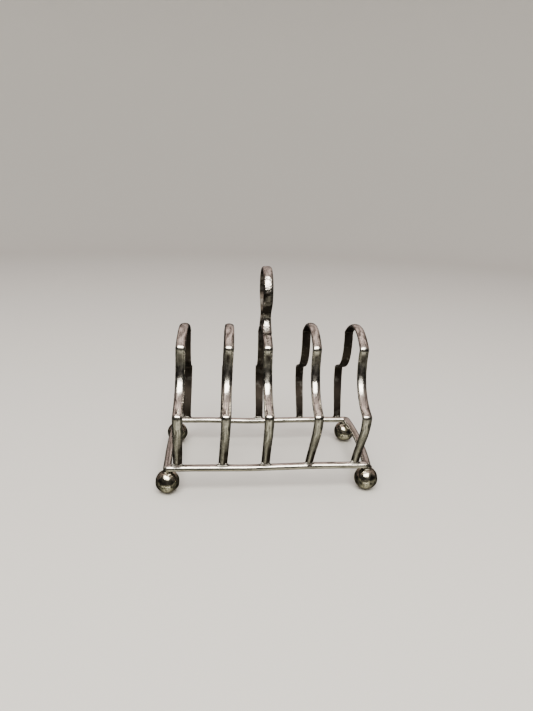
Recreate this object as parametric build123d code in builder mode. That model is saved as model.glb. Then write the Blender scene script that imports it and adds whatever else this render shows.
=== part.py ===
from build123d import *
import math
import os

# Five-bar toast rack in silver: a soldered strip frame on four ball feet, five D-section
# bars bent to the same stepped outline, and a horseshoe handle on the middle bar.
# Millimetres.  +Z is up, +X runs along the long side, -Y is the front.
# The origin is on the table, midway between the outermost points in X and in Y.

os.makedirs("parts", exist_ok=True)

# ---- Ball feet -------------------------------------------------------------------------
BALL_RADIUS = 7.1
FOOT_FLAT = 0.1            # height worn off the bottom of each ball
CUP_WALL = 0.7             # each ball is two thin cups soldered at the middle
FOOT_CENTRES = {
    "front_left": (-58.7, -35.0),
    "front_right": (57.9, -32.6),
    "rear_right": (58.7, 34.6),
    "rear_left": (-58.3, 33.6),
}
PEG_RADIUS = 1.6
PEG_LENGTH = 3.6           # from the underside of the frame down into the ball

# ---- Base frame ------------------------------------------------------------------------
RAIL_WIDTH = 4.4
RAIL_HEIGHT = 3.2
RAIL_BOTTOM = 14.3
RAIL_CROWN = 1.8           # rounding of the rail's two upper edges
FRONT_LEFT = (-58.7, -35.8)     # corners of the frame's centre line
FRONT_RIGHT = (57.5, -33.1)
REAR_RIGHT = (59.8, 35.4)
REAR_LEFT = (-59.0, 34.4)
OUTER_CORNER_RADIUS = 2.6
INNER_CORNER_RADIUS = 0.8
MITRE_REACH = 12.0         # half length of the cut across a corner
FRONT_BOW = 0.5            # how far each rail's middle stands out of line, outward
REAR_BOW = -1.5
LEFT_BOW = 0.5
RIGHT_BOW = 2.0

# ---- Bars ------------------------------------------------------------------------------
BAR_X = (-52.4, -26.5, -1.4, 25.3, 52.2)
BAR_LEAN = (1.0, 2.2, -0.4, 0.9, 1.3)      # degrees, towards +X
MIDDLE_BAR = 2             # place of the middle bar in the two lists above
BAR_WIDTH = 5.5
BAR_THICKNESS = 2.0
BAR_EDGE = 1.2             # rounding of the bar's two outer edges
CUSP_RADIUS = 2.0
CUSP_REACH = 44.0          # lower cusps, from the centre plane
FRONT_CUSP_HEIGHT = 50.7
REAR_CUSP_HEIGHT = 53.8
UPPER_CUSP = (23.6, 83.4)  # distance from the centre plane, height
CROWN_HEIGHT = 92.0
LEG_START = 12.0           # the leg's outline starts here, below the rail
LEG_END = 16.0             # and the leg itself ends here, beside the rail's crown
LEG_PULL = 27.5            # the leg's curve stands upright up to about this height
SWELL_PULL = (0.8, -14.7)       # from the lower cusp: the leg comes up to it from here
SHOULDER_PULL = (-12.0, 3.3)    # from the lower cusp: the shoulder leaves it towards here
HOLLOW_PULL = (18.5, 61.0)      # the shoulder's hollow below the upper cusp

# ---- Handle ----------------------------------------------------------------------------
HANDLE_WIDTH = 5.6
HANDLE_THICKNESS = 2.0
HANDLE_EDGE = 1.2
HANDLE_TOP = 127.0
HANDLE_RADIUS = 15.2
NECK = (7.9, 98.5)         # half width and height of the narrowest place
HEEL = (14.0, 88.6)        # where the outline of each end runs into the bar's crown
END_PULL = (10.4, 91.8)    # each end flares out towards here
BELOW_NECK = (7.6, 94.5)
ABOVE_NECK = (0.3, 3.8)    # from the neck: the belly leaves it towards here
BELLY_PULL = 104.5         # height at which the belly has swelled to its full width

# How far a point of an outline moves, towards the centre plane and up, for each millimetre
# by which the outline is set in.
LEG_SHIFT = (1.0, 0.2)
SWELL_SHIFT = (1.0, 0.3)
CUSP_SHIFT = (1.0, -0.75)
SHOULDER_SHIFT = (0.5, -0.9)
HOLLOW_SHIFT = (0.95, -0.35)
HEEL_SHIFT = (0.67, -0.75)
END_SHIFT = (0.75, -0.55)
LEVEL_SHIFT = (1.0, 0.0)

RAIL_TOP = RAIL_BOTTOM + RAIL_HEIGHT

# The top of each bar is one arc from cusp to cusp over the crown.
CROWN_RISE = CROWN_HEIGHT - UPPER_CUSP[1]
CROWN_RADIUS = (UPPER_CUSP[0]**2 + CROWN_RISE**2) / (2 * CROWN_RISE)


def outward(value):
    """Sign of a coordinate, so that a corner can be moved away from the centre."""
    return math.copysign(1.0, value)


def set_in(side, point, shift, inset):
    """A point of an outline on one side of the centre plane, moved in with the outline."""
    return side * (point[0] - shift[0] * inset), point[1] + shift[1] * inset


def rail_middle(start, end, bow):
    """Middle of a bowed rail: the bow pushes it away from the centre of the rack."""
    x = (start[0] + end[0]) / 2
    y = (start[1] + end[1]) / 2
    if abs(x) > abs(y):
        return x + outward(x) * bow, y
    return x, y + outward(y) * bow


def long_rail_y(start, end, bow, x):
    """Centre line of the front or rear rail at a given x."""
    middle_x, middle_y = rail_middle(start, end, bow)
    along = (x - middle_x) / ((end[0] - start[0]) / 2)
    straight = (start[1] + end[1]) / 2 + (end[1] - start[1]) / 2 * along
    return straight + (middle_y - (start[1] + end[1]) / 2) * (1 - along**2)


# The frame before it is cut into rails: a closed loop of flattened D-section strip.
with BuildPart() as frame_loop:
    with BuildSketch(Plane.XY.offset(RAIL_BOTTOM)):
        with BuildLine():
            ThreePointArc(FRONT_LEFT, rail_middle(FRONT_LEFT, FRONT_RIGHT, FRONT_BOW), FRONT_RIGHT)
            ThreePointArc(FRONT_RIGHT, rail_middle(FRONT_RIGHT, REAR_RIGHT, RIGHT_BOW), REAR_RIGHT)
            ThreePointArc(REAR_RIGHT, rail_middle(REAR_RIGHT, REAR_LEFT, REAR_BOW), REAR_LEFT)
            ThreePointArc(REAR_LEFT, rail_middle(REAR_LEFT, FRONT_LEFT, LEFT_BOW), FRONT_LEFT)
        outline = make_face()
        offset(outline, amount=RAIL_WIDTH / 2, kind=Kind.INTERSECTION, mode=Mode.REPLACE)
        offset(amount=-RAIL_WIDTH, kind=Kind.INTERSECTION, mode=Mode.SUBTRACT)
        fillet(vertices().sort_by_distance((0, 0))[4:], OUTER_CORNER_RADIUS)
        fillet(vertices().sort_by_distance((0, 0))[:4], INNER_CORNER_RADIUS)
    extrude(amount=RAIL_HEIGHT)
    fillet(edges().group_by(Axis.Z)[-1], RAIL_CROWN)


def make_rail(label, start, end):
    """One side of the frame, cut from the loop by a mitre across each of its corners."""
    with BuildPart() as rail:
        add(frame_loop.part)
        mitre = []
        for corner, reach in ((start, MITRE_REACH), (start, -MITRE_REACH),
                              (end, -MITRE_REACH), (end, MITRE_REACH)):
            mitre.append((corner[0] + outward(corner[0]) * reach,
                          corner[1] + outward(corner[1]) * reach))
        with BuildSketch(Plane.XY.offset(RAIL_BOTTOM)):
            with BuildLine():
                Polyline(*mitre, close=True)
            make_face()
        extrude(amount=RAIL_HEIGHT, mode=Mode.INTERSECT)
    rail.part.label = label
    export_step(rail.part, f"parts/{label}.step")


make_rail("front_rail", FRONT_LEFT, FRONT_RIGHT)
make_rail("right_rail", FRONT_RIGHT, REAR_RIGHT)
make_rail("rear_rail", REAR_RIGHT, REAR_LEFT)
make_rail("left_rail", REAR_LEFT, FRONT_LEFT)


def bar_outline(front_foot, rear_foot, inset):
    """Closed outline of a bar, moved in by inset: 0 is its outer face, the thickness its inner."""
    arc_radius = CROWN_RADIUS - inset
    upper_y = UPPER_CUSP[0] - inset
    upper_z = CROWN_HEIGHT - CROWN_RADIUS + math.sqrt(arc_radius**2 - upper_y**2)
    for side, foot_y, cusp_z in ((-1, -front_foot, FRONT_CUSP_HEIGHT), (1, rear_foot, REAR_CUSP_HEIGHT)):
        leg = (foot_y, LEG_PULL)
        swell = (CUSP_REACH + SWELL_PULL[0], cusp_z + SWELL_PULL[1])
        shoulder = (CUSP_REACH + SHOULDER_PULL[0], cusp_z + SHOULDER_PULL[1])
        lower_cusp = set_in(side, (CUSP_REACH, cusp_z), CUSP_SHIFT, inset)
        # The leg stands nearly upright on the rail, then swells out to the lower cusp.
        Bezier(
            (side * (foot_y - inset), LEG_START),
            set_in(side, leg, LEG_SHIFT, inset),
            set_in(side, swell, SWELL_SHIFT, inset),
            lower_cusp,
        )
        # The shoulder runs inward and sweeps up in one hollow curve to the upper cusp.
        Bezier(
            lower_cusp,
            set_in(side, shoulder, SHOULDER_SHIFT, inset),
            set_in(side, HOLLOW_PULL, HOLLOW_SHIFT, inset),
            (side * upper_y, upper_z),
        )
    ThreePointArc((-upper_y, upper_z), (0, CROWN_HEIGHT - inset), (upper_y, upper_z))
    Line((front_foot + inset, LEG_START), (rear_foot - inset, LEG_START))


def bar_plane(index):
    """The upright plane of one bar, tilted by its lean about the foot of the bar."""
    lean = math.radians(BAR_LEAN[index])
    return Plane(
        origin=(BAR_X[index] - RAIL_TOP * math.tan(lean), 0, 0),
        x_dir=(0, 1, 0),
        z_dir=(math.cos(lean), 0, -math.sin(lean)),
    )


def foot_positions(index):
    """Outer faces of a bar's two feet, so that each leg stands on its rail's centre line."""
    front = long_rail_y(FRONT_LEFT, FRONT_RIGHT, FRONT_BOW, BAR_X[index])
    rear = long_rail_y(REAR_LEFT, REAR_RIGHT, REAR_BOW, BAR_X[index])
    return front - BAR_THICKNESS / 2, rear + BAR_THICKNESS / 2


def make_bar(index):
    """One bar: a D-section strip bent to the stepped outline and coped onto the rails."""
    front_foot, rear_foot = foot_positions(index)
    with BuildPart() as bar:
        with BuildSketch(bar_plane(index)) as outline:
            with BuildLine():
                bar_outline(front_foot, rear_foot, 0)
            make_face()
            cusps = [v for v in vertices() if v.Y > LEG_END]
            fillet(cusps, CUSP_RADIUS)
        extrude(amount=BAR_WIDTH / 2, both=True)
        sides = faces().sort_by(Axis.X)
        rim = sides[0].edges() + sides[-1].edges()
        fillet([edge for edge in rim if edge.center().Z > LEG_END], BAR_EDGE)
        with BuildSketch(bar_plane(index)):
            with BuildLine():
                bar_outline(front_foot, rear_foot, BAR_THICKNESS)
            make_face()
            with Locations((0, LEG_START)):
                Rectangle(3 * CUSP_REACH, 2 * (LEG_END - LEG_START))
        extrude(amount=BAR_WIDTH, both=True, mode=Mode.SUBTRACT)
        add(frame_loop.part, clean=False, mode=Mode.SUBTRACT)
    bar.part.label = f"bar_{index + 1}"
    export_step(bar.part, f"parts/{bar.part.label}.step")
    return outline


bar_outlines = [make_bar(index) for index in range(len(BAR_X))]


def horseshoe(inset):
    """Closed outline of the handle, moved in by inset: 0 is outside, the thickness inside."""
    radius = HANDLE_RADIUS - inset
    centre_height = HANDLE_TOP - HANDLE_RADIUS
    above_neck = (NECK[0] + ABOVE_NECK[0], NECK[1] + ABOVE_NECK[1])
    for side in (-1, 1):
        neck = set_in(side, NECK, LEVEL_SHIFT, inset)
        # Each end flares out from the neck and comes down slantwise on the crown.
        Bezier(
            set_in(side, HEEL, HEEL_SHIFT, inset),
            set_in(side, END_PULL, END_SHIFT, inset),
            set_in(side, BELOW_NECK, LEVEL_SHIFT, inset),
            neck,
        )
        Bezier(
            neck,
            set_in(side, above_neck, LEVEL_SHIFT, inset),
            (side * radius, BELLY_PULL),
            (side * radius, centre_height),
        )
    ThreePointArc((-radius, centre_height), (0, centre_height + radius), (radius, centre_height))
    Line(set_in(-1, HEEL, HEEL_SHIFT, inset), set_in(1, HEEL, HEEL_SHIFT, inset))


# The horseshoe handle stands on the crown of the middle bar, in that bar's own plane.
with BuildPart() as handle:
    with BuildSketch(bar_plane(MIDDLE_BAR)):
        with BuildLine():
            horseshoe(0)
        make_face()
    extrude(amount=HANDLE_WIDTH / 2, both=True)
    sides = faces().sort_by(Axis.X)
    rim = sides[0].edges() + sides[-1].edges()
    fillet([edge for edge in rim if edge.center().Z > HEEL[1] + 1], HANDLE_EDGE)
    with BuildSketch(bar_plane(MIDDLE_BAR)):
        with BuildLine():
            horseshoe(HANDLE_THICKNESS)
        make_face()
        add(bar_outlines[MIDDLE_BAR].sketch_local)
    extrude(amount=HANDLE_WIDTH, both=True, mode=Mode.SUBTRACT)
handle.part.label = "handle_loop"
export_step(handle.part, "parts/handle_loop.step")


def make_foot(corner):
    """A hollow ball in two cups, hung from the frame on a short peg."""
    x, y = FOOT_CENTRES[corner]
    centre_height = BALL_RADIUS - FOOT_FLAT
    with BuildPart() as peg:
        with BuildSketch(Plane.XY.offset(RAIL_BOTTOM - PEG_LENGTH)):
            with Locations((x, y)):
                Circle(PEG_RADIUS)
        extrude(amount=PEG_LENGTH)
    for half, keep in (("upper", Keep.TOP), ("lower", Keep.BOTTOM)):
        with BuildPart() as cup:
            with Locations((x, y, centre_height)):
                Sphere(BALL_RADIUS)
                Sphere(BALL_RADIUS - CUP_WALL, mode=Mode.SUBTRACT)
            split(bisect_by=Plane.XY.offset(centre_height), keep=keep)
            if half == "lower":
                split(bisect_by=Plane.XY, keep=Keep.TOP)
            add(peg.part, mode=Mode.SUBTRACT)
        cup.part.label = f"foot_{half}_cup_{corner}"
        export_step(cup.part, f"parts/{cup.part.label}.step")
    peg.part.label = f"foot_peg_{corner}"
    export_step(peg.part, f"parts/{peg.part.label}.step")


for corner in FOOT_CENTRES:
    make_foot(corner)
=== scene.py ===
import math

import bmesh
import bpy
import numpy as np
from mathutils import Matrix, Vector, noise


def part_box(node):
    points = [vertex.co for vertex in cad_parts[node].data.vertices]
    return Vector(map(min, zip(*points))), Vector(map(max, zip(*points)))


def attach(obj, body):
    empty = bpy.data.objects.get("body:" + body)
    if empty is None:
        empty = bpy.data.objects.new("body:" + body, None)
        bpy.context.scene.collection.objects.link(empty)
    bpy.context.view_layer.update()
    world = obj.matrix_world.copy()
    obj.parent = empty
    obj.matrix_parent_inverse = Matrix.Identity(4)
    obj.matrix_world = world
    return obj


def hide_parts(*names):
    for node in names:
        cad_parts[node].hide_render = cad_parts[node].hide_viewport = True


# Looks for a hand-made silver toast rack: five half-round bars on an oblong frame with ball
# feet, and a horseshoe handle.  Everything is in metres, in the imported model's own frame.

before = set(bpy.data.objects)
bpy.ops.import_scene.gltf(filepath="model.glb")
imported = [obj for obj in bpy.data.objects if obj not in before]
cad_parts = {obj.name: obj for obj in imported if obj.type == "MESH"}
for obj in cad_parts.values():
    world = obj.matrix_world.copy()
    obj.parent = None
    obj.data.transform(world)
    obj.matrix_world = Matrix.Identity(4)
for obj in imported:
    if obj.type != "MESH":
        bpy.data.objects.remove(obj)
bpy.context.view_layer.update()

MM = 0.001
BODY = "root"
CORNERS = ("front_left", "front_right", "rear_right", "rear_left")
BARS = ("bar_1", "bar_2", "bar_3", "bar_4", "bar_5")

# ---- Driving sizes, in millimetres, the same as the model's ------------------------------
RAIL_WIDTH = 4.4
RAIL_OUTER_CORNER = 2.6
RAIL_INNER_CORNER = 0.8
RAIL_RIM = 0.44            # share of the rail's height below its crown
FRAME_CORNERS = {
    "front_left": (-58.7, -35.8),
    "front_right": (57.5, -33.1),
    "rear_right": (59.8, 35.4),
    "rear_left": (-59.0, 34.4),
}
BOWS = {"front_rail": 0.5, "right_rail": 2.0, "rear_rail": -1.5, "left_rail": 0.5}
BAR_THICKNESS = 2.0
CUSP_REACH = 44.0
FRONT_CUSP_HEIGHT = 50.7
REAR_CUSP_HEIGHT = 53.8
UPPER_CUSP = (23.6, 83.4)  # distance from the centre plane, height
LEG_PULL = 27.5            # the leg's curve stands upright up to about this height
SWELL_PULL = (0.8, -14.7)       # from the lower cusp: the leg comes up to it from here
SHOULDER_PULL = (-12.0, 3.3)    # from the lower cusp: the shoulder leaves it towards here
HOLLOW_PULL = (18.5, 61.0)      # the shoulder's hollow below the upper cusp
HANDLE_THICKNESS = 2.0
HEEL = (13.4, 89.6)        # where each end of the handle meets the crown
END_PULL = (10.5, 91.9)
BELOW_NECK = (7.6, 94.5)
NECK = (7.9, 98.5)         # half width and height of the narrowest place
ABOVE_NECK = (0.3, 3.8)    # from the neck: the belly leaves it towards here
BELLY_PULL = 104.5         # height at which the belly has swelled to its full width
CUP_WALL = 0.7

# How far a point of an outline moves, towards the centre plane and up, for each millimetre
# by which the outline is set in.
LEG_SHIFT = (1.0, 0.2)
SWELL_SHIFT = (1.0, 0.3)
CUSP_SHIFT = (1.0, -0.75)
SHOULDER_SHIFT = (0.5, -0.9)
HOLLOW_SHIFT = (0.95, -0.35)
HEEL_SHIFT = (0.67, -0.75)
END_SHIFT = (0.75, -0.55)
LEVEL_SHIFT = (1.0, 0.0)

# ---- How each piece was bent by hand and by use, in millimetres ---------------------------
# Lift of the two long rails along X.
RAIL_LIFT = {
    "front_rail": ((-58, -41, -14, 6, 20, 38, 57), (0.0, 0.0, -0.40, -0.05, 0.34, 0.28, 0.0)),
    "rear_rail": ((-58, -38, -20, -7, 16, 32, 58), (0.0, 0.35, 0.0, -0.25, 0.40, 0.45, 0.0)),
}
# For each bar: sideways drift of the front foot and of the rear foot, sideways set of the
# rear half, lift of the crown and of the rear cusp, and width of leg and of bar.
BENDS = {
    "bar_1": (-0.30, 0.0, 0.60, -0.6, -0.4, 5.25, 5.75),
    "bar_2": (-0.50, 0.0, 0.00, -0.5, 0.0, 5.20, 5.55),
    "bar_3": (-1.10, -0.2, -0.55, 0.0, 0.0, 5.00, 5.45),
    "bar_4": (-2.25, 0.9, 0.10, 0.6, 0.2, 4.60, 5.45),
    "bar_5": (-1.95, 0.3, 0.45, 0.2, 0.2, 4.75, 5.55),
}

# ---- Reading places off the frame --------------------------------------------------------
def node_points(node):
    """All vertices of a CAD node, in millimetres."""
    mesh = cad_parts[node].data
    flat = np.zeros(len(mesh.vertices) * 3)
    mesh.vertices.foreach_get("co", flat)
    return flat.reshape(-1, 3) / MM


def slice_box(node, low_z, high_z):
    """Box of the part of a node that lies between two heights."""
    points = node_points(node)
    points = points[(points[:, 2] >= low_z) & (points[:, 2] <= high_z)]
    return points.min(axis=0), points.max(axis=0)


def box_mm(node):
    low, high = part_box(node)
    return np.array(low) / MM, np.array(high) / MM


RAIL_BOTTOM = box_mm("front_rail")[0][2]
RAIL_TOP = box_mm("front_rail")[1][2]


def foot_centre(corner):
    """Centre of one ball: the middle of its lower cup in plan, at the cup's rim."""
    low, high = box_mm(f"foot_lower_cup_{corner}")
    return np.array([(low[0] + high[0]) / 2, (low[1] + high[1]) / 2, high[2]])


BALL_RADIUS = (box_mm("foot_lower_cup_front_left")[1] - box_mm("foot_lower_cup_front_left")[0])[0] / 2


# ---- Smooth randomness -------------------------------------------------------------------
def wander(value, period, seed):
    """Smooth noise from -1 to 1 along one coordinate."""
    return noise.noise(Vector((value / period, seed * 7.31, seed * 3.17)))


def lumps(point, period, seed):
    """Smooth noise from -1 to 1 in space."""
    offset = Vector((seed * 5.7, seed * 2.3, seed * 9.1))
    return noise.noise(Vector(point) / period + offset)


def dents(point, kinds, seeds, lowering):
    """Height of a dented surface at a point, set down by lowering from the smooth one."""
    height = sum(size * lumps(point, spacing, seed) for (size, spacing), seed in zip(kinds, seeds))
    return height - lowering


# ---- Mesh helpers ------------------------------------------------------------------------
def new_object(name, vertices, faces, tarnish_and_shade):
    """A smooth-shaded mesh object from points in millimetres, with a value per vertex for tarnish and
    painted shade.
    """
    mesh = bpy.data.meshes.new(name)
    points = np.asarray(vertices, float)
    mesh.from_pydata((points * MM).tolist(), [], faces)
    mesh.validate()
    mesh.polygons.foreach_set("use_smooth", [True] * len(mesh.polygons))
    layer = mesh.attributes.new("tarnish_and_shade", "FLOAT", "POINT")
    layer.data.foreach_set("value", np.clip(np.asarray(tarnish_and_shade, float), 0, 1))
    mesh.update()
    piece = bpy.data.objects.new(name, mesh)
    bpy.context.scene.collection.objects.link(piece)
    return piece


def bezier(points, count):
    """Points along one cubic, its last point left out."""
    p = np.array(points, float)
    t = np.arange(count)[:, None] / count
    return (1 - t)**3 * p[0] + 3 * (1 - t)**2 * t * p[1] + 3 * (1 - t) * t**2 * p[2] + t**3 * p[3]


def eased_chain(curves, counts, ease, ease_count):
    """Joins cubics into one line and rounds the corner between each two.

    ease is the distance from a corner at which its rounding starts.
    """
    pieces = []
    for number, (curve, count) in enumerate(zip(curves, counts)):
        dense = np.vstack([bezier(curve, 400), [curve[3]]])
        run = np.concatenate([[0], np.cumsum(np.linalg.norm(np.diff(dense, axis=0), axis=1))])
        start = ease if number > 0 else 0.0
        end = run[-1] - (ease if number < len(curves) - 1 else 0.0)
        along = np.linspace(start, end, count)
        pieces.append(np.stack([np.interp(along, run, dense[:, k]) for k in (0, 1)], axis=1))
    line = [pieces[0]]
    for before, after, curve in zip(pieces, pieces[1:], curves[1:]):
        corner = np.array(curve[0], float)
        t = np.linspace(0, 1, ease_count + 2)[1:-1, None]
        line.append((1 - t)**2 * before[-1] + 2 * (1 - t) * t * corner + t**2 * after[0])
        line.append(after)
    return np.vstack(line)


def half_round_section(rim=0.30, bevel=0.10):
    """Closed half-round section as (across, through) pairs.

    across runs from -1 to 1, through from 0 on the flat back to 1 on the crown; rim is the
    height at which the crown starts and bevel eases the two back edges.
    """
    crown = [(math.cos(a), rim + (1 - rim) * math.sin(a)) for a in np.linspace(0, math.pi, 19)]
    back = [(-1, 0.16), (-1 + bevel * 0.25, 0.04), (-1 + bevel, 0.0)]
    flat = [(x, 0.0) for x in np.linspace(-0.72, 0.72, 7)]
    front = [(-x, y) for x, y in reversed(back)]
    return np.array(crown + back + flat + front)


def loft(rings, cap_start=True, cap_end=True):
    """Vertices and faces of a tube through equal closed rings, with domed caps."""
    count = len(rings[0])
    vertices = [tuple(p) for ring in rings for p in ring]
    faces = []
    for r in range(len(rings) - 1):
        for k in range(count):
            a = r * count + k
            b = r * count + (k + 1) % count
            faces.append((a, b, b + count, a + count))
    for wanted, ring_number, flip in ((cap_start, 0, True), (cap_end, len(rings) - 1, False)):
        if not wanted:
            continue
        first = ring_number * count
        centre = len(vertices)
        vertices.append(tuple(np.mean(rings[ring_number], axis=0)))
        for k in range(count):
            a, b = first + k, first + (k + 1) % count
            faces.append((b, a, centre) if flip else (a, b, centre))
    return vertices, faces


# ---- Bars --------------------------------------------------------------------------------
LEG_START = RAIL_TOP - 1.9      # each leg goes down into its rail
OUTER_EASE = 2.4                # distance from a cusp at which its rounding starts
INNER_EASE = 0.5
CURVE_STEPS = (60, 60, 90)      # rings along leg, shoulder and half of the crown
BAR_DENTS = ((0.11, 5.5), (0.055, 2.3))     # height and spacing of two sizes of dent
BAR_LOWERING = 0.11
PUNCHES = (-16.6, -18.7, -20.8)             # places along Y of the middle bar's blank punches
JOINT_REACH = 14.0              # distance from the centre plane of the handle's solder line


def set_in(side, point, shift, inset):
    """A point of an outline on one side of the centre plane, moved in with the outline."""
    return side * (point[0] - shift[0] * inset), point[1] + shift[1] * inset


def bar_curves(side, foot_y, inset, crown_z, cusp_z):
    """Cubics of half a bar, from its foot up to the crown: the same shape as the CAD bar."""
    rise = crown_z - UPPER_CUSP[1]
    crown_radius = (UPPER_CUSP[0]**2 + rise**2) / (2 * rise)
    arc_radius = crown_radius - inset
    upper_y = UPPER_CUSP[0] - inset
    upper_z = crown_z - crown_radius + math.sqrt(arc_radius**2 - upper_y**2)
    upper = (side * upper_y, upper_z)
    lower = set_in(side, (CUSP_REACH, cusp_z), CUSP_SHIFT, inset)
    swell = (CUSP_REACH + SWELL_PULL[0], cusp_z + SWELL_PULL[1])
    shoulder = (CUSP_REACH + SHOULDER_PULL[0], cusp_z + SHOULDER_PULL[1])
    # A circular arc as one cubic: its control points stand off by this much.
    sweep = math.asin(upper_y / arc_radius)
    reach = 4 / 3 * math.tan(sweep / 4) * arc_radius
    leg_curve = ((side * (foot_y - inset), LEG_START),
                 set_in(side, (foot_y, LEG_PULL), LEG_SHIFT, inset),
                 set_in(side, swell, SWELL_SHIFT, inset),
                 lower)
    shoulder_curve = (lower,
                      set_in(side, shoulder, SHOULDER_SHIFT, inset),
                      set_in(side, HOLLOW_PULL, HOLLOW_SHIFT, inset),
                      upper)
    crown_curve = (upper,
                   (side * (upper_y - reach * math.cos(sweep)), upper_z + reach * math.sin(sweep)),
                   (side * reach, crown_z - inset),
                   (0.0, crown_z - inset))
    return leg_curve, shoulder_curve, crown_curve


def bar_line(feet, inset, ease, crown_z, cusps_z):
    """One face of a bar in its own plane, front foot to rear foot."""
    halves = []
    for side, foot_y, cusp_z in zip((-1, 1), feet, cusps_z):
        curves = bar_curves(side, foot_y, inset, crown_z, cusp_z)
        halves.append(eased_chain(curves, CURVE_STEPS, ease, 11))
    return np.vstack([halves[0], halves[1][::-1][1:]])


def punch_depth(y, u):
    """Depth of the blank oval punches on the front of the middle bar's crown."""
    return sum(0.16 * math.exp(-((y - centre) / 0.62)**4 - (u / 0.22)**4) for centre in PUNCHES)


def painted_back_and_edge_shade(v, back):
    """Painted shade across a strip, standing in for dark reflections: back on its flat back, less on
    its edges, none on its crown.
    """
    return back if v < 0.02 else 0.60 * np.clip((0.80 - v) / 0.45, 0, 1)


def bar_tarnish_and_shade(node, y, z, u, v):
    """Tarnish and painted shade of a bar: painted dark reflection inside, low on the legs and under
    the upper cusps, painted shade by the solder and under the handle's ends, and tarnish in the
    punches.
    """
    above_rail = z - RAIL_TOP
    # Painted shade where the leg goes into the rail and its solder.
    near_foot = np.clip(1 - (above_rail - 0.2) / 2.6, 0, 1)
    # Painted dark reflection, strongest low on the leg.
    low_leg = np.clip(1 - above_rail / 22, 0, 1)
    # A painted highlight: one bright streak stays off centre on the lower leg.
    beside_painted_highlight = np.clip((abs(u + 0.25) - 0.05) / 0.40, 0.22, 1)
    # Painted dark reflection in the hollow under each upper cusp.
    under_cusp = math.exp(-((z - UPPER_CUSP[1] + 6.6) / 3.4)**4) if abs(y) > 17 else 0.0
    value = max(painted_back_and_edge_shade(v, 0.98),
                0.85 * near_foot,
                0.80 * under_cusp * math.exp(-(u / 0.62)**4),
                1.1 * low_leg**0.6 * beside_painted_highlight)
    if node == "bar_3" and v > 0.25 and z > UPPER_CUSP[1]:
        # The dark line where the handle's ends meet the crown: dark solder, with painted shade in the
        # gap under each end.
        joint_line = math.exp(-((abs(y) - JOINT_REACH) / 0.55)**2)
        value = max(value, 4.0 * punch_depth(y, u), joint_line)
    return value


def bar_piece(number, node):
    """One bar as a half-round strip with a dented, slightly uneven crown.

    Returns the piece, and what the handle and the solder need to know of the bar.
    """
    front_drift, rear_drift, rear_set, crown_lift, cusp_lift, leg_width, bar_width = BENDS[node]
    section = half_round_section()
    top_z = box_mm(node)[1][2]
    foot_low, foot_high = slice_box(node, RAIL_TOP - 1, RAIL_TOP + 0.5)
    top_low, top_high = slice_box(node, top_z - 1.5, top_z)
    base_x = (foot_low[0] + foot_high[0]) / 2
    top_x = (top_low[0] + top_high[0]) / 2
    lean = (top_x - base_x) / (top_z - RAIL_TOP)
    crown_z = top_z + crown_lift
    feet = (-foot_low[1], foot_high[1])
    cusps_z = (FRONT_CUSP_HEIGHT, REAR_CUSP_HEIGHT + cusp_lift)
    outer = bar_line(feet, 0.0, OUTER_EASE, crown_z, cusps_z)
    inner = bar_line(feet, BAR_THICKNESS, INNER_EASE, crown_z, cusps_z)
    across = np.array([1.0, 0.0, -lean])
    across /= np.linalg.norm(across)

    def middle_x(y, z):
        """Centre of the strip across, with the lean and the bends."""
        bend = np.clip(1 - (z - RAIL_TOP) / (46 - RAIL_TOP), 0, 1.1)**1.35
        drift = front_drift if y < 0 else rear_drift
        return base_x + lean * (z - RAIL_TOP) + drift * bend + rear_set * np.clip((y + 18) / 36, 0, 1)

    rings = []
    tarnish_and_shade = []
    for (oy, oz), (iy, iz) in zip(outer, inner):
        half = np.sign(oy)
        cusp_z = cusps_z[0] if oy < 0 else cusps_z[1]
        width = np.interp(oz, [RAIL_TOP, 40, cusp_z, cusp_z + 5, 80, 83.4, 87, 92],
                          [leg_width, bar_width - 0.15, bar_width + 0.1, bar_width, bar_width,
                           bar_width + 0.1, bar_width - 0.1, bar_width - 0.2])
        width += 0.12 * wander(oz + 40 * half, 9.0, number + 1)
        x = middle_x(oy, oz) + 0.16 * wander(oz + 60 * half, 26.0, number + 11)
        outside = np.array([x, oy, oz])
        inside = np.array([x, iy, iz])
        way = (outside - inside) / np.linalg.norm(outside - inside)
        ring = []
        for u, v in section:
            point = inside + v * (outside - inside) + u * width / 2 * across
            if v > 0.25:
                dent = dents(point, BAR_DENTS, (number, number + 20), BAR_LOWERING)
                if node == "bar_3" and v > 0.6:
                    dent -= punch_depth(oy, u)
                point = point + way * dent
            ring.append(point)
            tarnish_and_shade.append(bar_tarnish_and_shade(node, oy, oz, u, v))
        rings.append(ring)
    vertices, faces = loft(rings)
    piece = new_object(f"{node}_strip", vertices, faces, tarnish_and_shade + [0.6, 0.6])
    feet_xy = [(middle_x(side * 30, RAIL_TOP), side * (foot - BAR_THICKNESS / 2))
               for side, foot in zip((-1, 1), feet)]
    return piece, {"middle_x": middle_x, "across": across, "feet": feet_xy, "leg_width": leg_width}


# ---- Base frame --------------------------------------------------------------------------
RAIL_ENDS = {
    "front_rail": ("front_left", "front_right"),
    "right_rail": ("front_right", "rear_right"),
    "rear_rail": ("rear_right", "rear_left"),
    "left_rail": ("rear_left", "front_left"),
}


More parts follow.
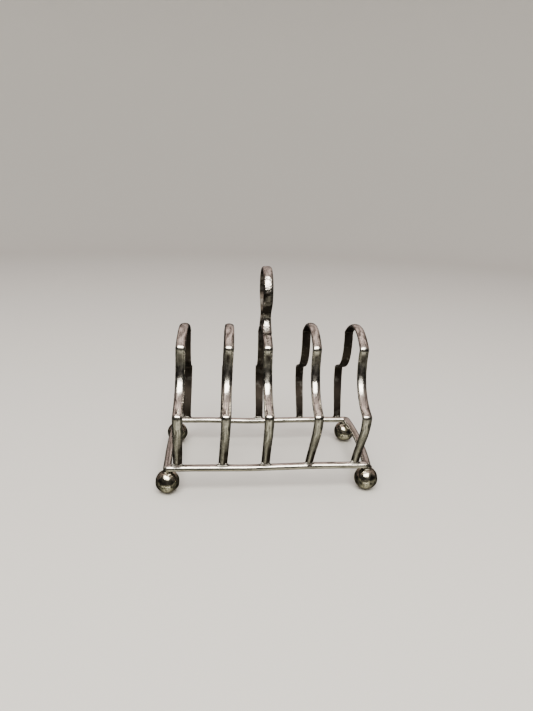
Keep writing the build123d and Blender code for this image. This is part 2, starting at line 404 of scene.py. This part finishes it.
def rail_edge(rail, offset, radius, count=90, corner_count=7):
    """One long edge of a rail in plan, ending half way round the corner at each end.

    offset is positive outside the centre line and negative inside it.
    """
    start, end = (np.array(FRAME_CORNERS[c]) for c in RAIL_ENDS[rail])
    along = (end - start) / np.linalg.norm(end - start)
    outward = np.array([along[1], -along[0]])
    half = np.linalg.norm(end - start) / 2

    def bowed(s):
        """Point at s, from -1 to 1 along the rail, on the offset and bowed line."""
        middle = (start + end) / 2
        return middle + along * s * (half + offset) + outward * (offset + BOWS[rail] * (1 - s**2))

    straight = 1 - radius / half
    body = [bowed(s) for s in np.linspace(-straight, straight, count)]
    ends = []
    for sign in (-1, 1):
        corner = bowed(sign)
        touch = bowed(sign * straight)
        diagonal = corner - (along * sign + outward) * radius * (1 - math.sqrt(0.5))
        t = np.linspace(0, 1, corner_count)[1:, None]
        control = touch + along * sign * radius * math.tan(math.pi / 8)
        ends.append((1 - t)**2 * touch + 2 * (1 - t) * t * control + t**2 * diagonal)
    return np.vstack([ends[0][::-1], body, ends[1]])


def rail_lift(rail, x):
    """How far a rail is bent up at x, smoothed between the given places."""
    if rail not in RAIL_LIFT:
        return 0.0
    places, lifts = RAIL_LIFT[rail]
    near = [np.interp(x + shift, places, lifts) for shift in (-6, -4, -2, 0, 2, 4, 6)]
    return float(np.mean(near))


def rail_piece(number, rail):
    """One rail: flattened half-round strip, a little wavy, mitred half way round each corner."""
    section = half_round_section(rim=RAIL_RIM)
    outer = rail_edge(rail, RAIL_WIDTH / 2, RAIL_OUTER_CORNER)
    inner = rail_edge(rail, -RAIL_WIDTH / 2, RAIL_INNER_CORNER)
    rings = []
    tarnish_and_shade = []
    for i, (a, b) in enumerate(zip(inner, outer)):
        place = i / (len(outer) - 1)
        hold = min(1.0, 8 * place, 8 * (1 - place))
        middle = (a + b) / 2
        wave_z = rail_lift(rail, middle[0]) + 0.08 * hold * wander(place * 100, 13.0, number + 31)
        wave_out = 0.15 * hold * wander(place * 100, 21.0, number + 41)
        across = (b - a) / np.linalg.norm(b - a)
        swell = 1 + 0.03 * wander(place * 100, 9.0, number + 51)
        ring = []
        for u, v in section:
            xy = middle + across * wave_out + (b - a) / 2 * u * swell
            z = RAIL_BOTTOM + v * (RAIL_TOP - RAIL_BOTTOM) + wave_z
            point = np.array([xy[0], xy[1], z])
            if v > 0.3:
                point[2] -= 0.05 * max(0.0, lumps(point, 4.0, number + 60))
            ring.append(point)
        rings.append(ring)
        # Painted shadow in the joint at each mitre.
        painted_mitre_shadow = max(0.0, 1 - 14 * min(place, 1 - place)) * 0.7
        # Painted shade on the rail's flat back and lower sides; its crown stays bright.
        for _, v in section:
            tarnish_and_shade.append(max(0.55 if v < 0.02 else (0.42 if v < 0.40 else 0.0), painted_mitre_shadow))
    vertices, faces = loft(rings)
    return new_object(f"{rail}_strip", vertices, faces, tarnish_and_shade + [0.9, 0.9])


# ---- Handle ------------------------------------------------------------------------------
CIRCLE_PULL = 0.5523            # control point of a cubic quarter circle, in radii
HANDLE_STEPS = (34, 40, 50)     # rings along end, belly and half of the top
HANDLE_DENTS = ((0.12, 2.8), (0.13, 1.15))
HANDLE_LOWERING = 0.14


def handle_curves(side, inset, top_z, radius):
    """Cubics of half the horseshoe, from its end on the crown up to the top."""
    r = radius - inset
    centre_z = top_z - radius
    neck = set_in(side, NECK, LEVEL_SHIFT, inset)
    above_neck = (NECK[0] + ABOVE_NECK[0], NECK[1] + ABOVE_NECK[1])
    end = (set_in(side, HEEL, HEEL_SHIFT, inset),
           set_in(side, END_PULL, END_SHIFT, inset),
           set_in(side, BELOW_NECK, LEVEL_SHIFT, inset),
           neck)
    belly = (neck,
             set_in(side, above_neck, LEVEL_SHIFT, inset),
             (side * r, BELLY_PULL),
             (side * r, centre_z))
    top = ((side * r, centre_z),
           (side * r, centre_z + CIRCLE_PULL * r),
           (side * CIRCLE_PULL * r, centre_z + r),
           (0.0, centre_z + r))
    return end, belly, top


def handle_line(inset, top_z, radius):
    """One face of the handle in its own plane, front end to rear end."""
    halves = []
    for side in (-1, 1):
        halves.append(eased_chain(handle_curves(side, inset, top_z, radius), HANDLE_STEPS, 0.01, 1))
    return np.vstack([halves[0], halves[1][::-1][1:]])


def handle_piece(bar):
    """The horseshoe handle: half-round strip with a dented crown and blunt ends."""
    low, high = box_mm("handle_loop")
    radius = (high[1] - low[1]) / 2
    section = half_round_section(rim=0.34, bevel=0.12)
    outer = handle_line(0.0, high[2], radius)
    inner = handle_line(HANDLE_THICKNESS, high[2], radius)
    rings = []
    tarnish_and_shade = []
    last = len(outer) - 1
    for i, ((oy, oz), (iy, iz)) in enumerate(zip(outer, inner)):
        to_end = min(i, last - i)
        width = np.interp(oz, [89, 94, 98, 106, 120, 127], [5.5, 5.3, 5.15, 5.6, 5.7, 5.6])
        width *= 1 - 0.16 * max(0.0, 1 - to_end / 4.0)**2
        x = bar["middle_x"](oy, oz) + 0.10 * wander(oz + 50 * np.sign(oy), 22.0, 71)
        outside = np.array([x, oy, oz])
        inside = np.array([x, iy, iz])
        way = (outside - inside) / np.linalg.norm(outside - inside)
        # Painted shade with tarnish at each blunt end, where it stands on the crown; the end caps
        # take it in full.
        end_dark = max(0.0, 1 - to_end / 3.0)
        # Painted dark reflection on the lower belly, whose faces look down.
        painted_belly_shade = np.interp(oz, [94, 99, 103, 110, 115, 119], [0.10, 0.55, 0.80, 0.75, 0.30, 0.10])
        ring = []
        for u, v in section:
            point = inside + v * (outside - inside) + u * width / 2 * bar["across"]
            if v > 0.3:
                dent = dents(point, HANDLE_DENTS, (81, 82), HANDLE_LOWERING)
                point = point + way * dent * min(1.0, to_end / 6.0)
            ring.append(point)
            tarnish_and_shade.append(max(painted_back_and_edge_shade(v, 0.85), painted_belly_shade, end_dark))
        rings.append(ring)
    vertices, faces = loft(rings)
    return new_object("handle_strip", vertices, faces, tarnish_and_shade + [1.0, 1.0])


# ---- Feet --------------------------------------------------------------------------------
RIM_ANGLE = 0.004               # in radians, from the seam to each cup's rim
CUP_STEPS = 40
CUP_TURNS = 96
SOLDER_HEIGHT = 0.86            # where the solder neck meets a ball, in radii above its centre
SOLDER_SPREAD = {"front_left": 2.0, "front_right": 2.9, "rear_right": 2.2, "rear_left": 2.1}


def cup_piece(corner, half, number):
    """Half of a hollow ball: a thin spun shell, dented, and open round the peg at the top."""
    centre = foot_centre(corner)
    upper = half == "upper"
    sign = 1.0 if upper else -1.0
    pole = math.pi / 2 - (0.115 * math.pi if upper else 0.0)
    inner_radius = BALL_RADIUS - CUP_WALL
    # The first two steps lie close together, so that the seam between the cups stays fine.
    outside = [(BALL_RADIUS, a) for a in (RIM_ANGLE, *np.linspace(2 * RIM_ANGLE, pole, CUP_STEPS))]
    inside = [(inner_radius, a) for a in np.linspace(pole, RIM_ANGLE, CUP_STEPS // 2)]
    rings = []
    tarnish_and_shade = []
    for radius, a in outside + inside:
        r = radius * math.cos(a)
        h = radius * math.sin(a)
        ring = []
        for k in range(CUP_TURNS):
            turn = 2 * math.pi * k / CUP_TURNS
            point = np.array([r * math.cos(turn), r * math.sin(turn), sign * h])
            length = np.linalg.norm(point)
            if length > BALL_RADIUS - 0.1:
                dent = (lumps(point + centre, 5.0, number) + 0.7) * 0.30
                dent += max(0.0, lumps(point + centre, 2.2, number + 5))**1.5 * 0.22
                point *= (length - dent) / length
            point[2] = max(point[2], -centre[2])
            ring.append(centre + point)
            # Painted shade on the top of the upper cup, where it meets the solder neck under the
            # frame's corner.
            tarnish_and_shade.append(0.04 + (0.5 if upper and h > SOLDER_HEIGHT * BALL_RADIUS else 0.0))
        rings.append(ring)
    rings.append(rings[0])
    tarnish_and_shade.extend([0.3] * CUP_TURNS)
    vertices, faces = loft(rings, False, False)
    piece = new_object(f"ball_{half}_{corner}", vertices, faces, tarnish_and_shade)
    weld(piece)
    return piece


def weld(piece, distance=0.002 * MM):
    """Merges doubled vertices and makes the normals agree."""
    bm = bmesh.new()
    bm.from_mesh(piece.data)
    bmesh.ops.remove_doubles(bm, verts=bm.verts, dist=distance)
    bmesh.ops.recalc_face_normals(bm, faces=bm.faces)
    bm.to_mesh(piece.data)
    bm.free()


def foot_solder(corner, number):
    """The neck of solder between a ball and the frame's corner."""
    centre = foot_centre(corner)
    top = RAIL_BOTTOM + 0.45
    bottom = centre[2] + BALL_RADIUS * SOLDER_HEIGHT
    radius_low = BALL_RADIUS * math.cos(math.asin(SOLDER_HEIGHT)) + 0.02
    rings = []
    tarnish_and_shade = []
    rows = 12
    for row in range(rows):
        v = row / (rows - 1)
        pinch = 1 - 0.22 * math.sin(math.pi * min(1.0, 0.15 + v))
        radius = (radius_low * (1 - v) + SOLDER_SPREAD[corner] * v) * pinch
        z = bottom + (top - bottom) * v
        ring = []
        for k in range(40):
            turn = 2 * math.pi * k / 40
            way = (math.cos(turn) * 2, math.sin(turn) * 2, z)
            r = radius * (1 + 0.22 * lumps(way, 1.7, number))
            ring.append((centre[0] + r * math.cos(turn), centre[1] + r * math.sin(turn), z))
            tarnish_and_shade.append(0.75 - 0.5 * max(0.0, lumps(way, 1.1, 7)))
        rings.append(ring)
    vertices, faces = loft(rings)
    return new_object(f"foot_solder_{corner}", vertices, faces, tarnish_and_shade + [0.8, 0.8])


# ---- Solder at the bars' feet --------------------------------------------------------------
def bar_solder(node, bar, side, number):
    """A small skirt of solder that runs from a leg down onto its rail."""
    centre_x, centre_y = bar["feet"][0 if side == "front" else 1]
    half_width = bar["leg_width"] / 2
    rings = []
    tarnish_and_shade = []
    count, rows = 48, 8
    for row in range(rows):
        v = row / (rows - 1)
        spread = 0.95 * (1 - v)**2.2
        ring = []
        for k in range(count):
            turn = 2 * math.pi * k / count
            uneven = 1 + 0.35 * lumps((math.cos(turn) * 3, math.sin(turn) * 3, number * 4.0), 2.0, 91)
            x = centre_x + (half_width - 0.05 + spread * uneven * 1.25) * round_rect(math.cos(turn))
            half_depth = BAR_THICKNESS / 2 - 0.12 + spread * 0.75 * uneven
            y = centre_y + half_depth * round_rect(math.sin(turn))
            off = min(1.0, abs(y - centre_y) / (RAIL_WIDTH / 2))
            crown = RAIL_RIM + (1 - RAIL_RIM) * math.sqrt(1 - off**2)
            ground = RAIL_BOTTOM + (RAIL_TOP - RAIL_BOTTOM) * crown
            z = ground - 0.12 + v * (1.15 * uneven + 0.12)
            ring.append((x, y, z))
            tarnish_and_shade.append(0.9 - 0.5 * v)
        rings.append(ring)
    vertices, faces = loft(rings)
    return new_object(f"{node}_{side}_solder", vertices, faces, tarnish_and_shade + [0.8, 0.8])


def round_rect(value):
    """Pushes a circle's coordinate outward, for a rounded oblong."""
    return math.copysign(abs(value)**0.55, value)


# ---- Materials ---------------------------------------------------------------------------
def node_at(tree, kind, **settings):
    made = tree.nodes.new(kind)
    for key, value in settings.items():
        setattr(made, key, value)
    return made


def silver(name, colour, dark, mottling, roughness, seed, scratch=1.0, pitting=0.10, pit_scale=380.0):
    """Worn silver: tarnish and painted shade from the mesh, tarnish from noise, fine scratches and
    shallow pits.

    Noise scales are in cycles per metre; seed shifts the noise from material to material.
    """
    material = bpy.data.materials.new(name)
    material.use_nodes = True
    tree = material.node_tree
    tree.nodes.clear()
    link = tree.links.new
    output = node_at(tree, "ShaderNodeOutputMaterial")
    shader = node_at(tree, "ShaderNodeBsdfPrincipled")
    shader.inputs["Metallic"].default_value = 1.0
    link(shader.outputs[0], output.inputs[0])
    place = node_at(tree, "ShaderNodeTexCoord")
    shift = node_at(tree, "ShaderNodeMapping")
    shift.inputs["Location"].default_value = (seed, seed * 0.7, seed * 1.3)
    link(place.outputs["Object"], shift.inputs["Vector"])

    def noise_node(scale, detail=3.0, rough=0.55, distortion=0.0, source=shift):
        made = node_at(tree, "ShaderNodeTexNoise")
        made.inputs["Scale"].default_value = scale
        made.inputs["Detail"].default_value = detail
        made.inputs["Roughness"].default_value = rough
        made.inputs["Distortion"].default_value = distortion
        link(source.outputs[0], made.inputs["Vector"])
        return made

    def spread(source, low, high, to_low=0.0, to_high=1.0):
        made = node_at(tree, "ShaderNodeMapRange", interpolation_type="SMOOTHSTEP")
        made.inputs["From Min"].default_value = low
        made.inputs["From Max"].default_value = high
        made.inputs["To Min"].default_value = to_low
        made.inputs["To Max"].default_value = to_high
        link(source, made.inputs["Value"])
        return made.outputs["Result"]

    def math_node(operation, a, b, clamp=False):
        made = node_at(tree, "ShaderNodeMath", operation=operation, use_clamp=clamp)
        for socket, value in zip(made.inputs, (a, b)):
            if isinstance(value, (int, float)):
                socket.default_value = value
            else:
                link(value, socket)
        return made.outputs[0]

    # Per-vertex darkening from the meshes: tarnish, and painted shade and dark reflection.
    mesh_tarnish_and_shade = node_at(tree, "ShaderNodeAttribute", attribute_name="tarnish_and_shade")
    clouds = noise_node(170.0, 5.0, 0.62)
    specks = noise_node(900.0, 3.0, 0.6)
    patch = spread(clouds.outputs["Fac"], 0.42, 0.68)
    speck = spread(specks.outputs["Fac"], 0.56, 0.72)
    evenness = spread(clouds.outputs["Fac"], 0.25, 0.6, 0.82, 1.1)
    laid = math_node("MULTIPLY", mesh_tarnish_and_shade.outputs["Fac"], evenness)
    spots = math_node("MULTIPLY", math_node("MULTIPLY", patch, speck), mottling * 1.6)
    film = math_node("MULTIPLY", patch, mottling)
    amount = math_node("ADD", math_node("ADD", laid, spots), film, clamp=True)

    tint = node_at(tree, "ShaderNodeMix", data_type="RGBA", blend_type="MIX")
    tint.inputs[6].default_value = (*colour, 1)
    tint.inputs[7].default_value = (*dark, 1)
    link(amount, tint.inputs[0])
    link(tint.outputs[2], shader.inputs["Base Color"])

    stretch = node_at(tree, "ShaderNodeMapping")
    stretch.inputs["Scale"].default_value = (1.0, 0.12, 0.16)
    stretch.inputs["Rotation"].default_value = (0.25, 0.1, 0.35)
    link(shift.outputs[0], stretch.inputs["Vector"])
    hairlines = noise_node(5200.0, 2.0, 0.5, 0.3, stretch)
    cross = node_at(tree, "ShaderNodeMapping")
    cross.inputs["Scale"].default_value = (0.15, 1.0, 0.9)
    cross.inputs["Rotation"].default_value = (0.7, 0.5, 0.1)
    link(shift.outputs[0], cross.inputs["Vector"])
    hairlines_too = noise_node(4300.0, 2.0, 0.5, 0.2, cross)
    lines = math_node("MAXIMUM", spread(hairlines.outputs["Fac"], 0.58, 0.70),
                      spread(hairlines_too.outputs["Fac"], 0.60, 0.72))

    wear = noise_node(260.0, 4.0, 0.6)
    gloss = spread(wear.outputs["Fac"], 0.3, 0.7, roughness * 0.65, roughness * 1.5)
    gloss = math_node("ADD", gloss, math_node("MULTIPLY", lines, 0.05 * scratch))
    gloss = math_node("ADD", gloss, math_node("MULTIPLY", amount, 0.22), clamp=True)
    link(gloss, shader.inputs["Roughness"])

    pits = noise_node(pit_scale, 2.0, 0.5)
    bump_pits = node_at(tree, "ShaderNodeBump")
    bump_pits.inputs["Strength"].default_value = pitting
    bump_pits.inputs["Distance"].default_value = 0.4 * MM
    link(pits.outputs["Fac"], bump_pits.inputs["Height"])
    bump_lines = node_at(tree, "ShaderNodeBump")
    bump_lines.invert = True
    bump_lines.inputs["Strength"].default_value = 0.12 * scratch
    bump_lines.inputs["Distance"].default_value = 0.03 * MM
    link(lines, bump_lines.inputs["Height"])
    link(bump_pits.outputs[0], bump_lines.inputs["Normal"])
    link(bump_lines.outputs[0], shader.inputs["Normal"])
    return material


bar_silver = silver("bar_silver", (0.86, 0.83, 0.77), (0.060, 0.050, 0.042),
                    mottling=0.16, roughness=0.15, seed=0.0)
rail_silver = silver("rail_silver", (0.86, 0.83, 0.77), (0.055, 0.046, 0.040),
                     mottling=0.20, roughness=0.13, seed=0.3)
handle_silver = silver("handle_silver", (0.85, 0.81, 0.76), (0.050, 0.042, 0.036),
                       mottling=0.45, roughness=0.12, seed=0.6, pitting=0.55, pit_scale=950.0)
foot_silver = silver("foot_silver", (0.90, 0.85, 0.70), (0.055, 0.046, 0.038),
                     mottling=0.14, roughness=0.12, seed=0.9, scratch=1.2)


def settle(piece, material, node=None):
    """Gives a piece its material and its body, and hides the CAD node it stands for."""
    piece.data.materials.append(material)
    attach(piece, BODY)
    if node:
        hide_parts(node)


# ---- Putting it together -------------------------------------------------------------------
bars = {}
for number, node in enumerate(BARS):
    piece, bars[node] = bar_piece(number, node)
    settle(piece, bar_silver, node)
    for side_number, side in enumerate(("front", "rear")):
        settle(bar_solder(node, bars[node], side, 2 * number + side_number), rail_silver)

for number, rail in enumerate(RAIL_ENDS):
    settle(rail_piece(number, rail), rail_silver, rail)

settle(handle_piece(bars["bar_3"]), handle_silver, "handle_loop")

for number, corner in enumerate(CORNERS):
    for half in ("upper", "lower"):
        settle(cup_piece(corner, half, number + 101), foot_silver, f"foot_{half}_cup_{corner}")
    settle(foot_solder(corner, number), foot_silver)
    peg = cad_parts[f"foot_peg_{corner}"]
    peg.data.materials.clear()
    peg.data.materials.append(foot_silver)


# ---- Studio --------------------------------------------------------------------------------
def plain_material(name, colour, roughness):
    material = bpy.data.materials.new(name)
    material.use_nodes = True
    shader = material.node_tree.nodes["Principled BSDF"]
    shader.inputs["Base Color"].default_value = (*colour, 1)
    shader.inputs["Roughness"].default_value = roughness
    return material


def bowl_floor():
    """A pale round floor that curves up into a pale wall all round the rack, in metres.

    The silver doesn't mirror it, but mirrors the room that studio_air makes.
    """
    wall_radius, height, bend = 1.9, 1.2, 0.6
    line = [(0.0, 0.0), (0.5, 0.0), (wall_radius - bend, 0.0)]
    for a in np.linspace(0, math.pi / 2, 20)[1:]:
        line.append((wall_radius - bend + bend * math.sin(a), bend - bend * math.cos(a)))
    line.append((wall_radius, height))
    turns = 96
    vertices = [(0.0, 0.0, 0.0)]
    for radius, z in line[1:]:
        for k in range(turns):
            turn = 2 * math.pi * k / turns
            vertices.append((radius * math.cos(turn), radius * math.sin(turn), z))
    faces = [(0, 1 + k, 1 + (k + 1) % turns) for k in range(turns)]
    for row in range(len(line) - 2):
        for k in range(turns):
            a = 1 + row * turns + k
            b = 1 + row * turns + (k + 1) % turns
            faces.append((a, a + turns, b + turns, b))
    mesh = bpy.data.meshes.new("studio_floor")
    mesh.from_pydata(vertices, [], faces)
    mesh.polygons.foreach_set("use_smooth", [True] * len(mesh.polygons))
    floor = bpy.data.objects.new("studio_floor", mesh)
    bpy.context.scene.collection.objects.link(floor)
    floor.data.materials.append(plain_material("studio_floor", (0.74, 0.73, 0.71), 0.7))
    floor.visible_glossy = False


def soft_light(name, place, target, size, power, colour=(1, 1, 1)):
    data = bpy.data.lights.new(name, "AREA")
    data.shape = "RECTANGLE"
    data.size, data.size_y = size
    data.energy = power
    data.color = colour
    lamp = bpy.data.objects.new(name, data)
    bpy.context.scene.collection.objects.link(lamp)
    lamp.location = place
    lamp.rotation_mode = "QUATERNION"
    lamp.rotation_quaternion = (Vector(target) - Vector(place)).to_track_quat("-Z", "Y")
    return lamp


# The room round the X axis as (place, colour): 0.25 is straight down, 0.5 the front horizon,
# 0.75 straight up, and 0 and 1 the rear horizon.
ROOM = (
    (0.0, (0.06, 0.055, 0.05)),
    (0.22, (0.14, 0.13, 0.10)),
    (0.30, (0.40, 0.385, 0.29)),
    (0.42, (0.62, 0.59, 0.46)),
    (0.46, (0.10, 0.095, 0.08)),
    (0.51, (0.035, 0.03, 0.028)),
    (0.575, (0.06, 0.055, 0.05)),
    (0.66, (0.36, 0.33, 0.30)),
    (0.76, (0.95, 0.76, 0.69)),
    (0.90, (0.68, 0.53, 0.48)),
    (0.975, (0.34, 0.27, 0.24)),
    (0.995, (0.06, 0.055, 0.05)),
)


def studio_air():
    """The room that the silver mirrors: dark table and sides, a pale warm wall behind."""
    world = bpy.data.worlds.new("studio_air")
    bpy.context.scene.world = world
    world.use_nodes = True
    tree = world.node_tree
    link = tree.links.new
    background = tree.nodes["Background"]
    place = node_at(tree, "ShaderNodeTexCoord")
    split = node_at(tree, "ShaderNodeSeparateXYZ")
    link(place.outputs["Generated"], split.inputs[0])
    # The turn about the X axis, from -pi to pi, with 0 at the front horizon.
    front = node_at(tree, "ShaderNodeMath", operation="MULTIPLY")
    link(split.outputs["Y"], front.inputs[0])
    front.inputs[1].default_value = -1.0
    turn = node_at(tree, "ShaderNodeMath", operation="ARCTAN2")
    link(split.outputs["Z"], turn.inputs[0])
    link(front.outputs[0], turn.inputs[1])
    share = node_at(tree, "ShaderNodeMapRange")
    share.inputs["From Min"].default_value = -math.pi
    share.inputs["From Max"].default_value = math.pi
    link(turn.outputs[0], share.inputs["Value"])
    ramp = node_at(tree, "ShaderNodeValToRGB")
    band = ramp.color_ramp
    while len(band.elements) < len(ROOM):
        band.elements.new(0.5)
    for element, (position, colour) in zip(band.elements, ROOM):
        element.position = position
        element.color = (*colour, 1)
    link(share.outputs["Result"], ramp.inputs["Fac"])
    # The two sides are dark.
    aside = node_at(tree, "ShaderNodeMath", operation="ABSOLUTE")
    link(split.outputs["X"], aside.inputs[0])
    fade = node_at(tree, "ShaderNodeMapRange", interpolation_type="SMOOTHSTEP")
    for name, value in (("From Min", 0.28), ("From Max", 0.72), ("To Min", 1.0), ("To Max", 0.22)):
        fade.inputs[name].default_value = value
    link(aside.outputs[0], fade.inputs["Value"])
    shade = node_at(tree, "ShaderNodeMix", data_type="RGBA", blend_type="MULTIPLY")
    shade.inputs[0].default_value = 1.0
    link(ramp.outputs["Color"], shade.inputs[6])
    link(fade.outputs["Result"], shade.inputs[7])
    # Uneven patches, as a furnished room has.
    patches = node_at(tree, "ShaderNodeTexNoise")
    patches.inputs["Scale"].default_value = 4.2
    patches.inputs["Detail"].default_value = 3.5
    patches.inputs["Distortion"].default_value = 0.6
    link(place.outputs["Generated"], patches.inputs["Vector"])
    uneven = node_at(tree, "ShaderNodeMapRange", interpolation_type="SMOOTHSTEP")
    for name, value in (("From Min", 0.40), ("From Max", 0.60), ("To Min", 0.12), ("To Max", 1.55)):
        uneven.inputs[name].default_value = value
    link(patches.outputs["Fac"], uneven.inputs["Value"])
    broken = node_at(tree, "ShaderNodeMix", data_type="RGBA", blend_type="MULTIPLY")
    broken.inputs[0].default_value = 1.0
    link(shade.outputs[2], broken.inputs[6])
    link(uneven.outputs["Result"], broken.inputs[7])
    link(broken.outputs[2], background.inputs["Color"])


bowl_floor()
soft_light("key_window", (-0.08, -0.74, 0.97), (0, 0, 0.05), (1.10, 0.74), 26.0, (1.0, 0.955, 0.85))
fill = soft_light("ceiling_fill", (0.0, 0.1, 1.5), (0, 0, 0.0), (1.6, 1.6), 9.0)
fill.visible_glossy = False
studio_air()

# ---- Camera --------------------------------------------------------------------------------
CAMERA_PLACE = Vector((-27.55, -324.3, 166.8)) * MM
CAMERA_TURN = math.radians(-4.68)       # about Z, negative towards +X
CAMERA_TILT = math.radians(16.16)       # below the horizon
CAMERA_ROLL = math.radians(1.85)
FOCAL_LENGTH = 28.1                     # for a sensor 36 mm along the picture's long side

camera_data = bpy.data.cameras.new("camera")
camera_data.sensor_width = 36.0
camera_data.lens = FOCAL_LENGTH
camera_data.clip_start = 0.01
camera_data.clip_end = 20.0
camera = bpy.data.objects.new("camera", camera_data)
bpy.context.scene.collection.objects.link(camera)
turn = Matrix.Rotation(CAMERA_TURN, 4, "Z")
tilt = Matrix.Rotation(math.pi / 2 - CAMERA_TILT, 4, "X")
roll = Matrix.Rotation(CAMERA_ROLL, 4, "Z")
camera.matrix_world = Matrix.Translation(CAMERA_PLACE) @ turn @ tilt @ roll
bpy.context.scene.camera = camera
